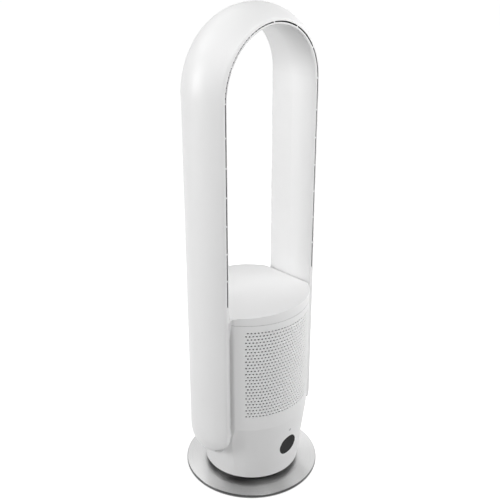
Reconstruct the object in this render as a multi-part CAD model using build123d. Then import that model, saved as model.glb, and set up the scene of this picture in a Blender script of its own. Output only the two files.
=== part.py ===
from build123d import *
from math import atan2, cos, degrees, radians, sin, sqrt, tan
import os

# Bladeless tower fan on a round base: two hollow legs joined by an arch, with a drum between
# them. Millimetres. The origin is the centre of the base's underside, +Z is up and the front,
# where the air comes out, faces -Y.

# ---- driving dimensions ----------------------------------------------------------------------
# base
BASE_RADIUS = 137.3
BASE_BOTTOM = 1.6
TRAY_WALL = 3.0
TRAY_FLOOR = 3.6
DISC_BOTTOM = 6.6
DISC_BEVEL = 0.6
BASE_TOP = 8.0
BALLAST_BORE = 50.0
PAD_RADIUS = 8.5
PAD_CIRCLE = 120.0
BASE_SCREW_CIRCLE = 60.0
BASE_SCREW_RADIUS = 2.2
BASE_SCREW_HEAD = 4.2
BASE_SCREW_TOP = 15.0
BASE_BOSS_RADIUS = 5.0

# neck, post and the tower's floor
NECK_RADIUS = 84.0
NECK_BORE = 70.0
NECK_TOP = 18.4
NECK_FLOOR = 12.0
POST_RADIUS = 20.0
POST_TOP = 50.0
POST_BEVEL = 2.0
PLAY = 0.05
GLIDE_OUTER = 82.0
GLIDE_INNER = 72.0
FLOOR_TOP = 23.5
SLEEVE_RADIUS = 26.0
SLEEVE_TOP = 40.0
WASHER_RADIUS = 25.4
WASHER_TOP = 41.6
NUT_RADIUS = 25.0
NUT_HEIGHT = 4.4
FLOOR_SCREW_CIRCLE = 88.5
FLOOR_SCREW_RADIUS = 1.6
FLOOR_SCREW_HEAD = 3.5
FLOOR_SCREW_TOP = 34.0

# gears and the motor that swings the tower
GEAR_MODULE = 1.25
GEAR_TEETH = 48
PINION_TEETH = 12
GEAR_Z = 13.0
GEAR_HEIGHT = 5.0
GEAR_PLAY = 0.35
TOOTH_ROOT_HALF = 0.30
TOOTH_TIP_HALF = 0.11
TOOTH_ABOVE = 0.85
TOOTH_BELOW = 1.25
PINION_Y = GEAR_MODULE * (GEAR_TEETH + PINION_TEETH) / 2 + GEAR_PLAY
PINION_SHAFT = 2.5
PINION_SHAFT_TOP = 34.0
PINION_HOLE = 11.5
SWING_MOTOR_RADIUS = 21.0
SWING_MOTOR_SHIFT = 9.5
SWING_MOTOR_BOTTOM = 26.5
SWING_MOTOR_TOP = 46.0
SWING_MOTOR_EAR = 29.0
SWING_MOTOR_Y = PINION_Y + SWING_MOTOR_SHIFT
SWING_POST_X = 25.0

# body and drum
RIM_Z = 20.5
RIM_RADIUS = 97.0
SHOULDER_Z = 150.0
DRUM_TOP = 386.6
WALL = 2.6
PARTING_Y = 2.0
DRUM_RADIUS = 121.3
DRUM_ARC_OFFSET = 10.5
DRUM_ARC_HALF = 48.6
DRUM_HALF_WIDTH = 109.7
FLAT_END_X = 102.3
CORNER_RADIUS = 10.0
GROOVE_FLOOR_Y = 43.0
SCREW_BOSS_RADIUS = 8.0
SCREW_BOSS_TOP = 38.0
FAR = 200.0

# top cover
COVER_Z = 387.0
COVER_CREST = 407.0
COVER_LIP = 6.0
CROWN_FALL = 5.0
CROWN_ROLL_X = 98.0
CROWN_ROLL = ((109.0, 11.0), (114.0, 22.0))

# grilles
GRILLE_BOTTOM = 176.0
GRILLE_TOP = 377.0
GRILLE_STRIPS = 12
GRILLE_RAIL = 4.0
RAIL_LAP = 2.0
RAIL_DEPTH = 1.6
SCREEN_DEPTH = 0.8
HOLE_RADIUS = 5.0
FRONT_HOLE_SIDES = 6
REAR_HOLE_SIDES = 4
HOLE_ROWS = 9
ROW_PITCH = 22.0
FIRST_ROW_Z = (GRILLE_BOTTOM + GRILLE_TOP - (HOLE_ROWS - 1) * ROW_PITCH) / 2

# display, remote-control window and mains inlet
DISPLAY_Z = 84.5
DISPLAY_RADIUS = 22.5
DISPLAY_SINK = 2.0
LENS_THICKNESS = 2.5
BOARD_THICKNESS = 1.6
BOARD_MARGIN = 3.0
WINDOW_Z = 124.0
WINDOW_RADIUS = 3.0
INLET_Z = 58.0
INLET_Y = 98.6
INLET_HALF_WIDTH = 15.0
INLET_HALF_HEIGHT = 11.0
INLET_DEPTH = 14.0
INLET_PIN_X = 4.3

# hollow loop: legs and arch
ARCH_Z = 812.6
DUCT_ARC_CENTRE = 72.0
DUCT_ARC_RADIUS = 73.0
DUCT_WALL = 2.6
FACE_Y = 52.6
NOSE_RADIUS = 9.0
NOSE_Y = FACE_Y - NOSE_RADIUS
REAR_Y = 54.8
REAR_ROUND = (116.6, 56.8)
LINER_FRONT = 112.2
LINER_REAR = 112.0
LINER_FOLD = 109.7
LINER_FOLD_Y = 1.5
LINER_WALL = 2.4
LINER_ROUND = 3.0
SLOT_OUTER = DUCT_ARC_CENTRE + sqrt((DUCT_ARC_RADIUS - NOSE_RADIUS) ** 2 - NOSE_Y ** 2)
SLOT_WIDTH = 2.6
SLOT_INNER = SLOT_OUTER - SLOT_WIDTH
NOZZLE_DEPTH = 12.0
NOZZLE_Y = FACE_Y - NOZZLE_DEPTH
SLOT_BOTTOM = 429.6
RIB_PITCH = 54.0
RIB_WIDTH = 2.6
RIB_DEPTH = 7.5
ARCH_RIB_STEP = 30
LEG_FOOT_TOP = 150.0
LEG_END_TOP = 135.0
LEG_END_HEIGHT = 53.5
LEG_END_POWER = 2.25
LEG_END_DEPTHS = (0, 0.3, 0.55, 0.78, 0.92, 0.99)
LEG_FOCUS = 104.0
LEG_ROOT = 92.0
LEG_HOLLOW_Z = 138.0
GROOVE_END = ((43.0, 150.0), (48.0, 128.0), (48.0, 60.0))
TIP_LINE = ((92.0, 142.0), (112.2, 128.0), (120.0, 119.0), (132.0, 104.0))
TIP_NOTCH_Y = 25.0
GROOVE_HEAD = ((43.0, 350.0), (51.5, 402.0))
GROOVE_HEAD_GAP = 0.15
SCOOP_EDGE = (122.0, 52.03)
SCOOP_INNER = (106.0, 48.2)
SCOOP_FULL_Z = 375.0
SCOOP_TOP_Z = 418.0
SCOOP_CLEAR = 0.1
WINDOW_SIZE = (24.0, 56.0, 28.0)
WINDOW_PLACE = (108.0, 152.0)
SEAL_SPANS = ((-36.0, -6.0), (9.0, 36.0))
SEAL_HEIGHT = 230.0

# blower
IMPELLER_RADIUS = 74.0
IMPELLER_Z = 108.0
IMPELLER_HEIGHT = 48.0
IMPELLER_EYE = 44.0
BLADES = 9
HUB_RADIUS = 12.0
HUB_HEIGHT = 18.0
SHAFT_RADIUS = 3.0
MOTOR_PLATE_Z = 100.0
MOTOR_RADIUS = 35.0
MOTOR_BOTTOM = 58.0
MOTOR_TOP = 92.0
MOTOR_SCREW_CIRCLE = 42.0
MOTOR_SCREW_RADIUS = 1.6
BUSH_RADIUS = 4.6
PLATE_THICKNESS = 2.5
DECK_Z = 168.0

# main board in the tower's floor
BOARD_Z = 34.0
BOARD_POSTS = ((44.0, -62.0), (30.0, -38.0))
BOARD_POST_RADIUS = 4.0


# ---- helpers ---------------------------------------------------------------------------------
def cylinder(radius, bottom, top, x=0.0, y=0.0):
    """Upright solid cylinder between two heights."""
    place = Pos(x, y, bottom)
    return place * Cylinder(radius, top - bottom, align=(Align.CENTER, Align.CENTER, Align.MIN))


def ring(outer, inner, bottom, top):
    """Upright tube between two heights."""
    return cylinder(outer, bottom, top) - cylinder(inner, bottom - 1, top + 1)


def block(x_low, x_high, y_low, y_high, z_low, z_high):
    """Box given by its six faces."""
    centre = Pos((x_low + x_high) / 2, (y_low + y_high) / 2, (z_low + z_high) / 2)
    return centre * Box(x_high - x_low, y_high - y_low, z_high - z_low)


def column(radius, bottom, top, x=0.0, y=0.0):
    """Eight-sided column for small hidden details such as screws, bushes and their holes."""
    return Pos(x, y, bottom) * extrude(RegularPolygon(radius, 8), top - bottom)


def turned(points):
    """Solid of revolution about Z from (radius, height) points."""
    return revolve(make_face(Plane.XZ * Polyline(*points, close=True)), Axis.Z)


def around(radius, count, start=0.0):
    """Equally spaced (x, y, angle) places on a circle."""
    places = []
    for index in range(count):
        angle = start + 360 * index / count
        places.append((radius * cos(radians(angle)), radius * sin(radians(angle)), angle))
    return places


def mirrored(shape):
    """The same shape on the other side of the middle plane."""
    return mirror(shape, Plane.YZ)


def to_rear(shape):
    """The same shape turned half round, from the front to the rear."""
    return Rot(0, 0, 180) * shape


# ---- plan of the drum ------------------------------------------------------------------------
def drum_edges(inset):
    """Eight edges round the drum: front arc, flats, sides and the same at the rear."""
    radius = DRUM_RADIUS - inset
    half = radians(DRUM_ARC_HALF)
    corner_x = radius * sin(half)
    corner_y = DRUM_ARC_OFFSET - radius * cos(half)
    side_x = DRUM_HALF_WIDTH - inset
    side_y = corner_y + (side_x - corner_x) * tan(half)
    apex_y = DRUM_ARC_OFFSET - radius
    return [
        ThreePointArc((-corner_x, corner_y), (0, apex_y), (corner_x, corner_y)),
        Line((corner_x, corner_y), (side_x, side_y)),
        Line((side_x, side_y), (side_x, -side_y)),
        Line((side_x, -side_y), (corner_x, -corner_y)),
        ThreePointArc((corner_x, -corner_y), (0, -apex_y), (-corner_x, -corner_y)),
        Line((-corner_x, -corner_y), (-side_x, -side_y)),
        Line((-side_x, -side_y), (-side_x, side_y)),
        Line((-side_x, side_y), (-corner_x, corner_y)),
    ]


def rim_edges(inset):
    """Eight arcs on the bottom circle that pair with the edges of the drum."""
    radius = RIM_RADIUS - inset
    angles = []
    for edge in drum_edges(inset):
        start = edge @ 0
        angles.append(degrees(atan2(start.Y, start.X)))
    arcs = []
    for index, start in enumerate(angles):
        stop = angles[(index + 1) % len(angles)]
        if stop < start:
            stop += 360
        ends = [radians(start), radians((start + stop) / 2), radians(stop)]
        arcs.append(ThreePointArc(*[(radius * cos(a), radius * sin(a)) for a in ends]))
    return arcs


def drum_face(inset, z):
    return Pos(0, 0, z) * make_face(drum_edges(inset))


def corner_cuts(inset, bottom, top):
    """What the four rounded corners, and the grooves they form with the legs, take off the drum."""
    half = radians(DRUM_ARC_HALF)
    outward = Vector(-sin(half), -cos(half))
    flat_y = DRUM_ARC_OFFSET - DRUM_RADIUS * cos(half) + (FLAT_END_X - DRUM_RADIUS * sin(half)) * tan(half)
    centre = Vector(-FLAT_END_X, flat_y) - outward * CORNER_RADIUS
    radius = CORNER_RADIUS - inset
    start = centre + outward * radius
    stop = centre - Vector(radius, 0)
    middle = centre + (outward - Vector(1, 0)).normalized() * radius
    clear = start + outward * CORNER_RADIUS
    floor_y = inset - GROOVE_FLOOR_Y
    outline = [
        ThreePointArc(start, middle, stop),
        Polyline(stop, (stop.X, floor_y), (-FAR, floor_y), (-FAR, clear.Y), clear, start),
    ]
    left = Pos(0, 0, bottom) * extrude(make_face(outline), top - bottom)
    right = mirrored(left)
    return [left, right, to_rear(left), to_rear(right)]


def body_form(inset, bottom, top):
    """Round at the rim, growing to the drum's plan at the shoulder, then straight up."""
    rim = Pos(0, 0, RIM_Z) * make_face(rim_edges(inset))
    skirt = loft([rim, drum_face(inset, SHOULDER_Z)])
    drum = extrude(drum_face(inset, SHOULDER_Z), DRUM_TOP - SHOULDER_Z + 40)
    form = (skirt + drum) & block(-FAR, FAR, -FAR, FAR, bottom, top)
    return form - corner_cuts(inset, max(bottom, RIM_Z) - 1, top + 1)


def drum_prism(inset, bottom, top):
    """Straight length of the drum, with its rounded corners."""
    prism = extrude(drum_face(inset, bottom), top - bottom)
    return prism - corner_cuts(inset, bottom - 1, top + 1)


# ---- base ------------------------------------------------------------------------------------
def foot_pads():
    return [column(PAD_RADIUS, 0, BASE_BOTTOM, x, y) for x, y, _ in around(PAD_CIRCLE, 6, 30)]


def base_tray():
    """Flat black tray that holds the ballast."""
    wall = BASE_RADIUS - TRAY_WALL
    tray = turned([(0, BASE_BOTTOM), (BASE_RADIUS - 1, BASE_BOTTOM), (BASE_RADIUS, BASE_BOTTOM + 1),
                   (BASE_RADIUS, DISC_BOTTOM), (wall, DISC_BOTTOM), (wall, TRAY_FLOOR), (0, TRAY_FLOOR)])
    for x, y, _ in around(BASE_SCREW_CIRCLE, 4, 45):
        tray -= column(BASE_SCREW_RADIUS + 0.1, 0, DISC_BOTTOM, x, y)
    return tray


def ballast_plate():
    plate = ring(BASE_RADIUS - TRAY_WALL - 0.4, BALLAST_BORE, TRAY_FLOOR, DISC_BOTTOM)
    for x, y, _ in around(BASE_SCREW_CIRCLE, 4, 45):
        plate -= column(BASE_BOSS_RADIUS, 0, DISC_BOTTOM + 1, x, y)
    return plate


def base_disc():
    disc = turned([(0, DISC_BOTTOM), (BASE_RADIUS, DISC_BOTTOM), (BASE_RADIUS, BASE_TOP - DISC_BEVEL),
                   (BASE_RADIUS - DISC_BEVEL, BASE_TOP), (0, BASE_TOP)])
    for x, y, _ in around(BASE_SCREW_CIRCLE, 4, 45):
        disc -= column(BASE_SCREW_RADIUS + 0.1, 0, BASE_TOP + 1, x, y)
    return disc


def base_screws():
    """Screws from below, through the tray and the disc into the neck."""
    screws = []
    for x, y, _ in around(BASE_SCREW_CIRCLE, 4, 45):
        head = column(BASE_SCREW_HEAD, BASE_BOTTOM - 0.6, BASE_BOTTOM, x, y)
        screws.append(head + column(BASE_SCREW_RADIUS, BASE_BOTTOM, BASE_SCREW_TOP, x, y))
    return screws


def pedestal():
    """Fixed black neck: outer wall, floor, and the post that the tower turns on."""
    body = turned([(0, BASE_TOP), (NECK_RADIUS, BASE_TOP), (NECK_RADIUS, NECK_TOP), (NECK_BORE, NECK_TOP),
                   (NECK_BORE, NECK_FLOOR), (POST_RADIUS, NECK_FLOOR), (POST_RADIUS, POST_TOP - POST_BEVEL),
                   (POST_RADIUS - POST_BEVEL, POST_TOP), (0, POST_TOP)])
    for x, y, _ in around(BASE_SCREW_CIRCLE, 4, 45):
        body += column(BASE_BOSS_RADIUS, NECK_FLOOR, BASE_SCREW_TOP + 2, x, y)
        body -= column(BASE_SCREW_RADIUS, BASE_TOP, BASE_SCREW_TOP, x, y)
    return body


def glide_ring():
    return ring(GLIDE_OUTER, GLIDE_INNER, NECK_TOP, RIM_Z - PLAY)


# ---- gears -----------------------------------------------------------------------------------
def gear_face(teeth, turn):
    """Spur gear outline with straight flanks, turned by a part of one tooth step."""
    pitch = GEAR_MODULE * teeth / 2
    root = pitch - TOOTH_BELOW * GEAR_MODULE
    tip = pitch + TOOTH_ABOVE * GEAR_MODULE
    step = 360 / teeth
    corners = [(root, -TOOTH_ROOT_HALF), (tip, -TOOTH_TIP_HALF), (tip, TOOTH_TIP_HALF),
               (root, TOOTH_ROOT_HALF)]
    points = []
    for index in range(teeth):
        for radius, offset in corners:
            angle = radians(step * (index + turn + offset))
            points.append((radius * cos(angle), radius * sin(angle)))
    return make_face(Polyline(*points, close=True))


def fixed_gear():
    gear = Pos(0, 0, GEAR_Z) * extrude(gear_face(GEAR_TEETH, 0), GEAR_HEIGHT)
    collar = cylinder(SLEEVE_RADIUS, NECK_FLOOR, GEAR_Z)
    return gear + collar - cylinder(POST_RADIUS, 0, SLEEVE_TOP)


def pinion():
    """Drive gear behind the post; a tooth gap faces the fixed gear's rearmost tooth."""
    gear = extrude(gear_face(PINION_TEETH, 0.5), GEAR_HEIGHT - 0.6)
    shaft = cylinder(PINION_SHAFT, GEAR_Z + 1, PINION_SHAFT_TOP, 0, PINION_Y)
    return Pos(0, PINION_Y, GEAR_Z + 0.3) * gear + shaft


def oscillation_motor():
    """Flat geared motor on the tower's floor; its shaft stands off centre, over the pinion."""
    can = cylinder(SWING_MOTOR_RADIUS, SWING_MOTOR_BOTTOM, SWING_MOTOR_TOP, 0, SWING_MOTOR_Y)
    ears = block(-SWING_MOTOR_EAR, SWING_MOTOR_EAR, SWING_MOTOR_Y - 4, SWING_MOTOR_Y + 4,
                 SWING_MOTOR_BOTTOM, SWING_MOTOR_BOTTOM + 1.5)
    return can + ears - cylinder(PINION_SHAFT + PLAY, RIM_Z, PINION_SHAFT_TOP + 2, 0, PINION_Y)


# ---- tower floor -----------------------------------------------------------------------------
def tower_tray():
    """Floor of the tower with the sleeve that turns round the post."""
    bore = POST_RADIUS + PLAY
    outer = RIM_RADIUS - WALL
    tray = turned([(bore, RIM_Z), (outer, RIM_Z), (outer, FLOOR_TOP), (SLEEVE_RADIUS, FLOOR_TOP),
                   (SLEEVE_RADIUS, SLEEVE_TOP), (bore, SLEEVE_TOP)])
    tray -= cylinder(PINION_HOLE, RIM_Z - 5, FLOOR_TOP + 5, 0, PINION_Y)
    for side in (-1, 1):
        tray += column(BOARD_POST_RADIUS, FLOOR_TOP, SWING_MOTOR_BOTTOM, side * SWING_POST_X, SWING_MOTOR_Y)
        for x, y in BOARD_POSTS:
            tray += column(BOARD_POST_RADIUS, FLOOR_TOP, BOARD_Z, side * x, y)
    for x, y, _ in around(FLOOR_SCREW_CIRCLE, 4, 45):
        tray -= column(FLOOR_SCREW_HEAD + 0.1, RIM_Z - 1, RIM_Z + 1.5, x, y)
        tray -= column(FLOOR_SCREW_RADIUS + 0.1, RIM_Z - 1, FLOOR_TOP + 1, x, y)
    return tray


def tray_screws():
    """Screws up through the floor into the bosses of the housings."""
    screws = []
    for x, y, _ in around(FLOOR_SCREW_CIRCLE, 4, 45):
        head = column(FLOOR_SCREW_HEAD, RIM_Z + 0.3, RIM_Z + 1.5, x, y)
        screws.append(head + column(FLOOR_SCREW_RADIUS, RIM_Z + 1.5, FLOOR_SCREW_TOP, x, y))
    return screws


def retaining_washer():
    return ring(WASHER_RADIUS, POST_RADIUS, SLEEVE_TOP + PLAY, WASHER_TOP)


def retaining_nut():
    nut = Pos(0, 0, WASHER_TOP) * extrude(RegularPolygon(NUT_RADIUS, 6), NUT_HEIGHT)
    return nut - cylinder(POST_RADIUS, SLEEVE_TOP, POST_TOP)


# ---- housings --------------------------------------------------------------------------------
def body_walls():
    """Front and rear walls of the tower before they part, with their screw bosses."""
    walls = body_form(0, RIM_Z, DRUM_TOP) - body_form(WALL, RIM_Z - 1, DRUM_TOP + 1)
    bosses = []
    for x, y, _ in around(FLOOR_SCREW_CIRCLE, 4, 45):
        bosses.append(column(SCREW_BOSS_RADIUS, FLOOR_TOP, SCREW_BOSS_TOP, x, y))
    walls += body_form(1, FLOOR_TOP, SCREW_BOSS_TOP) & Compound(children=bosses)
    for x, y, _ in around(FLOOR_SCREW_CIRCLE, 4, 45):
        walls -= column(FLOOR_SCREW_RADIUS, RIM_Z, FLOOR_SCREW_TOP, x, y)
    for side in (-1, 1):
        walls -= air_window(side)
    return walls


def air_window(side):
    """Opening from the blower's chamber into one leg."""
    x, z = WINDOW_PLACE
    return Pos(side * x, 0, z) * Box(*WINDOW_SIZE)


def grille_opening():
    """Curved space in the drum's front arc that the grille fills."""
    wedge_x = FAR * tan(radians(DRUM_ARC_HALF))
    wedge = make_face(Polyline((0, 0), (-wedge_x, -FAR), (wedge_x, -FAR), close=True))
    tube = ring(DRUM_RADIUS + 1, DRUM_RADIUS - WALL - 0.1, GRILLE_BOTTOM, GRILLE_TOP)
    wedge_body = Pos(0, 0, GRILLE_BOTTOM) * extrude(wedge, GRILLE_TOP - GRILLE_BOTTOM)
    return Pos(0, DRUM_ARC_OFFSET, 0) * (tube & wedge_body)


def strip_panel(outer, inner, bottom, top):
    """Curved panel folded from flat strips, one for each column of holes."""
    step = 2 * DRUM_ARC_HALF / GRILLE_STRIPS
    turns = [radians(-DRUM_ARC_HALF + step * index) for index in range(GRILLE_STRIPS + 1)]
    outside = [(outer * sin(turn), DRUM_ARC_OFFSET - outer * cos(turn)) for turn in turns]
    inside = [(inner * sin(turn), DRUM_ARC_OFFSET - inner * cos(turn)) for turn in reversed(turns)]
    return Pos(0, 0, bottom) * extrude(make_face(Polyline(*outside, *inside, close=True)), top - bottom)


def grille_holes(sides):
    """One upright column of holes in each strip, every other column one row higher."""
    drill = extrude(RegularPolygon(HOLE_RADIUS, sides), WALL * 3, both=True)
    step = 2 * DRUM_ARC_HALF / GRILLE_STRIPS
    holes = []
    for strip in range(GRILLE_STRIPS):
        angle = (strip + 0.5) * step - DRUM_ARC_HALF
        for row in range(strip % 2, HOLE_ROWS, 2):
            place = Pos(0, DRUM_ARC_OFFSET, FIRST_ROW_Z + ROW_PITCH * row) * Rot(0, 0, angle)
            holes.append(place * Pos(0, -DRUM_RADIUS, 0) * Rot(90, 0, 0) * drill)
    return holes


def grille_panel(hole_sides):
    """Perforated panel with a rail along its top and bottom that hooks behind the housing."""
    back = DRUM_RADIUS - WALL
    panel = strip_panel(DRUM_RADIUS, back, GRILLE_BOTTOM, GRILLE_TOP)
    panel += strip_panel(back, back - RAIL_DEPTH, GRILLE_BOTTOM - GRILLE_RAIL, GRILLE_BOTTOM + RAIL_LAP)
    panel += strip_panel(back, back - RAIL_DEPTH, GRILLE_TOP - RAIL_LAP, GRILLE_TOP + GRILLE_RAIL)
    return panel - grille_holes(hole_sides)


def dust_screen():
    """Woven dust screen that lies behind the grille, between its rails."""
    back = DRUM_RADIUS - WALL
    return strip_panel(back, back - SCREEN_DEPTH, GRILLE_BOTTOM + RAIL_LAP, GRILLE_TOP - RAIL_LAP)


def display_place(depth):
    """Plane square to the sloping front wall, a given depth behind its middle line."""
    slope = (DRUM_RADIUS - DRUM_ARC_OFFSET - RIM_RADIUS) / (SHOULDER_Z - RIM_Z)
    front_y = -(RIM_RADIUS + slope * (DISPLAY_Z - RIM_Z)) + depth
    return Plane(origin=(0, front_y, DISPLAY_Z), x_dir=(1, 0, 0), z_dir=(0, -1, -slope))


def display_lens():
    place = display_place(DISPLAY_SINK) * Pos(0, 0, -LENS_THICKNESS / 2)
    return place * Cylinder(DISPLAY_RADIUS, LENS_THICKNESS)


def display_board():
    place = display_place(DISPLAY_SINK) * Pos(0, 0, -LENS_THICKNESS - BOARD_THICKNESS / 2)
    return place * Cylinder(DISPLAY_RADIUS + BOARD_MARGIN, BOARD_THICKNESS)


def ir_window():
    """Small window for the remote control, high on the front wall."""
    return Pos(0, -104, WINDOW_Z) * Rot(90, 0, 0) * Cylinder(WINDOW_RADIUS, 12)


def front_housing(walls):
    """Front shell with the grille's opening and the seat of the round display."""
    front = walls & block(-FAR, FAR, -FAR, PARTING_Y, 0, DRUM_TOP + 1)
    front -= grille_opening()
    seat = display_place(DISPLAY_SINK)
    front += (seat * Pos(0, 0, -2.05) * Cylinder(DISPLAY_RADIUS + 4, 4.1)) & body_form(0, 50, 120)
    front -= seat * Pos(0, 0, 5) * Cylinder(DISPLAY_RADIUS + 1.2, 10)
    front -= seat * Cylinder(DISPLAY_RADIUS, 2 * LENS_THICKNESS)
    front -= seat * Pos(0, 0, -LENS_THICKNESS - 5) * Cylinder(DISPLAY_RADIUS + BOARD_MARGIN, 10)
    return front - ir_window()


def rear_housing(walls):
    """Rear shell with the grille's opening and the hole for the mains inlet."""
    rear = walls & block(-FAR, FAR, PARTING_Y, FAR, 0, DRUM_TOP + 1)
    rear -= to_rear(grille_opening())
    return rear - block(-INLET_HALF_WIDTH, INLET_HALF_WIDTH, INLET_Y - 20, INLET_Y + 20,
                        INLET_Z - INLET_HALF_HEIGHT, INLET_Z + INLET_HALF_HEIGHT)


def power_inlet():
    """Two-pin mains socket in the rear wall, with a flange behind the wall."""
    inlet = block(-INLET_HALF_WIDTH, INLET_HALF_WIDTH, INLET_Y - INLET_DEPTH, INLET_Y,
                  INLET_Z - INLET_HALF_HEIGHT, INLET_Z + INLET_HALF_HEIGHT)
    flange = block(-INLET_HALF_WIDTH - 3, INLET_HALF_WIDTH + 3, INLET_Y - 6.2, INLET_Y - 3.6,
                   INLET_Z - INLET_HALF_HEIGHT - 3, INLET_Z + INLET_HALF_HEIGHT + 3)
    mouth = Pos(0, INLET_Y, INLET_Z) * Rot(90, 0, 0) * extrude(SlotOverall(20, 11), 10)
    inlet = inlet + flange - mouth
    for side in (-1, 1):
        inlet += Pos(side * INLET_PIN_X, INLET_Y - 6, INLET_Z) * Rot(90, 0, 0) * Cylinder(1.2, 8)
    return inlet


def top_cover():
    """Crowned cover with an edge that drops inside the drum."""
    solid = drum_prism(0, COVER_Z, COVER_CREST + 1) & crown_form(0, COVER_Z)
    hollow = drum_prism(WALL, COVER_Z - 1, COVER_CREST + 1) & crown_form(WALL, COVER_Z - 1)
    lip = drum_prism(WALL, COVER_Z - COVER_LIP, COVER_Z + 2.5)
    lip -= drum_prism(WALL + 2, COVER_Z - COVER_LIP - 1, COVER_Z + 5)
    return solid - hollow + lip


def crown_form(drop, bottom):
    """Prism along Y whose top is the crown of the cover."""
    crest = COVER_CREST - drop
    (bend_x, bend_fall), (edge_x, edge_fall) = CROWN_ROLL
    inner = (CROWN_ROLL_X, crest - CROWN_FALL)
    bend = (bend_x, crest - bend_fall)
    edge = (edge_x, crest - edge_fall)
    left_inner, left_bend, left_edge = [(-x, z) for x, z in (inner, bend, edge)]
    outline = [
        ThreePointArc(left_edge, left_bend, left_inner),
        ThreePointArc(left_inner, (0, crest), inner),
        ThreePointArc(inner, bend, edge),
        Polyline(edge, (edge_x, bottom), (-edge_x, bottom), left_edge),
    ]
    return extrude(make_face(Plane.XZ * Curve(children=outline)), FAR, both=True)


# ---- hollow loop -----------------------------------------------------------------------------
def arc_point(radius, y):
    """Point of a circle about the duct's arc centre at a given y."""
    return (DUCT_ARC_CENTRE + sqrt(radius ** 2 - y ** 2), y)


def nose_points():
    """Three points of the rounded front edge of a leg, from its outer arc to the slot."""
    turn = atan2(-NOSE_Y, SLOT_OUTER - DUCT_ARC_CENTRE)
    middle = (turn - radians(90)) / 2
    points = []
    for angle in (turn, middle, radians(-90)):
        points.append((SLOT_OUTER + NOSE_RADIUS * cos(angle), -NOSE_Y + NOSE_RADIUS * sin(angle)))
    return points


def shell_section():
    """Outer shell across the duct: round at the rear, rounded lip of the nozzle at the front."""
    inner = DUCT_ARC_RADIUS - DUCT_WALL
    front, nose, lip = nose_points()
    rear = arc_point(DUCT_ARC_RADIUS, REAR_Y)
    hollow_rear = arc_point(inner, FACE_Y - 3)
    hollow_front = arc_point(inner, -NOZZLE_Y)
    return make_face([
        ThreePointArc(lip, nose, front),
        ThreePointArc(front, (DUCT_ARC_CENTRE + DUCT_ARC_RADIUS, 0), rear),
        ThreePointArc(rear, REAR_ROUND, (LINER_REAR, FACE_Y)),
        Polyline((LINER_REAR, FACE_Y), (LINER_REAR + LINER_WALL, FACE_Y - 3), hollow_rear),
        ThreePointArc(hollow_rear, (DUCT_ARC_CENTRE + inner, 0), hollow_front),
        Polyline(hollow_front, (SLOT_OUTER + 1.6, -NOZZLE_Y), (SLOT_OUTER, -NOZZLE_Y - 2), lip),
    ])


def liner_section():
    """Inner wall across the duct: shallow V with the rounded inner lip of the nozzle."""
    round_start = (LINER_FRONT + LINER_ROUND, -FACE_Y)
    round_stop = liner_point(LINER_ROUND - FACE_Y)
    slant = LINER_ROUND * (1 - sqrt(0.5))
    return make_face([
        ThreePointArc(round_start, (LINER_FRONT + slant, -FACE_Y + slant), round_stop),
        Polyline(round_stop, (LINER_FOLD, LINER_FOLD_Y), (LINER_REAR, FACE_Y),
                 (LINER_REAR + LINER_WALL, FACE_Y - 3), (LINER_FOLD + LINER_WALL, LINER_FOLD_Y),
                 (LINER_FRONT + LINER_WALL - 0.6, -NOZZLE_Y), (SLOT_INNER, -NOZZLE_Y),
                 (SLOT_INNER, -FACE_Y), round_start),
    ])


def round_loop(section, bottom):
    """Carry a cross section up one leg, over the arch and down the other."""
    leg = Pos(0, 0, bottom) * extrude(section, ARCH_Z - bottom)
    spring = Pos(0, 0, ARCH_Z) * section
    arch = revolve(spring, Axis((0, 0, ARCH_Z), (0, -1, 0)), 180)
    return leg + arch + mirrored(leg)


def slot_rib():
    front = 0.5 - FACE_Y
    back = front + RIB_DEPTH
    return block(SLOT_INNER - 0.5, SLOT_OUTER - 0.02, front, back, -RIB_WIDTH / 2, RIB_WIDTH / 2)


def slot_ribs():
    """Ribs across the nozzle: evenly up the legs, then by angle round the arch."""
    ribs = []
    for count in range(1, int((ARCH_Z - SLOT_BOTTOM) / RIB_PITCH)):
        rib = Pos(0, 0, SLOT_BOTTOM + RIB_PITCH * count) * slot_rib()
        ribs += [rib, mirrored(rib)]
    for angle in range(0, 181, ARCH_RIB_STEP):
        ribs.append(Pos(0, 0, ARCH_Z) * Rot(0, -angle, 0) * slot_rib())
    return ribs


def leg_end_section(share, z):
    """Closed section of a leg's lower end, drawn in towards the drum by a share of its size."""
    def drawn(point):
        return (LEG_FOCUS + (point[0] - LEG_FOCUS) * share, point[1] * share)

    front, nose, lip = [drawn(point) for point in nose_points()]
    side = drawn((DUCT_ARC_CENTRE + DUCT_ARC_RADIUS, 0))
    rear = drawn(arc_point(DUCT_ARC_RADIUS, REAR_Y))
    inner_rear = drawn((LINER_REAR, FACE_Y))
    root_y = FACE_Y * share
    return Pos(0, 0, z) * make_face([
        ThreePointArc(lip, nose, front),
        ThreePointArc(front, side, rear),
        ThreePointArc(rear, drawn(REAR_ROUND), inner_rear),
        Polyline(inner_rear, (LEG_ROOT, root_y), (LEG_ROOT, -root_y), lip),
    ])


def leg_end():
    """Closed lower end of a leg: its section shrinks on a rounded curve towards the body."""
    sections = []
    for depth in LEG_END_DEPTHS:
        share = (1 - depth ** LEG_END_POWER) ** (1 / LEG_END_POWER)
        sections.append(leg_end_section(share, LEG_END_TOP - depth * LEG_END_HEIGHT))
    rounded = loft(sections)
    straight = extrude(leg_end_section(1, LEG_END_TOP), LEG_FOOT_TOP - LEG_END_TOP)
    hollow = Pos(0, 0, LEG_HOLLOW_Z) * extrude(duct_hollow(), LEG_FOOT_TOP)
    return rounded + straight - hollow - body_form(0, RIM_Z, DRUM_TOP) - groove_ends() - tip_notches()


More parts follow.
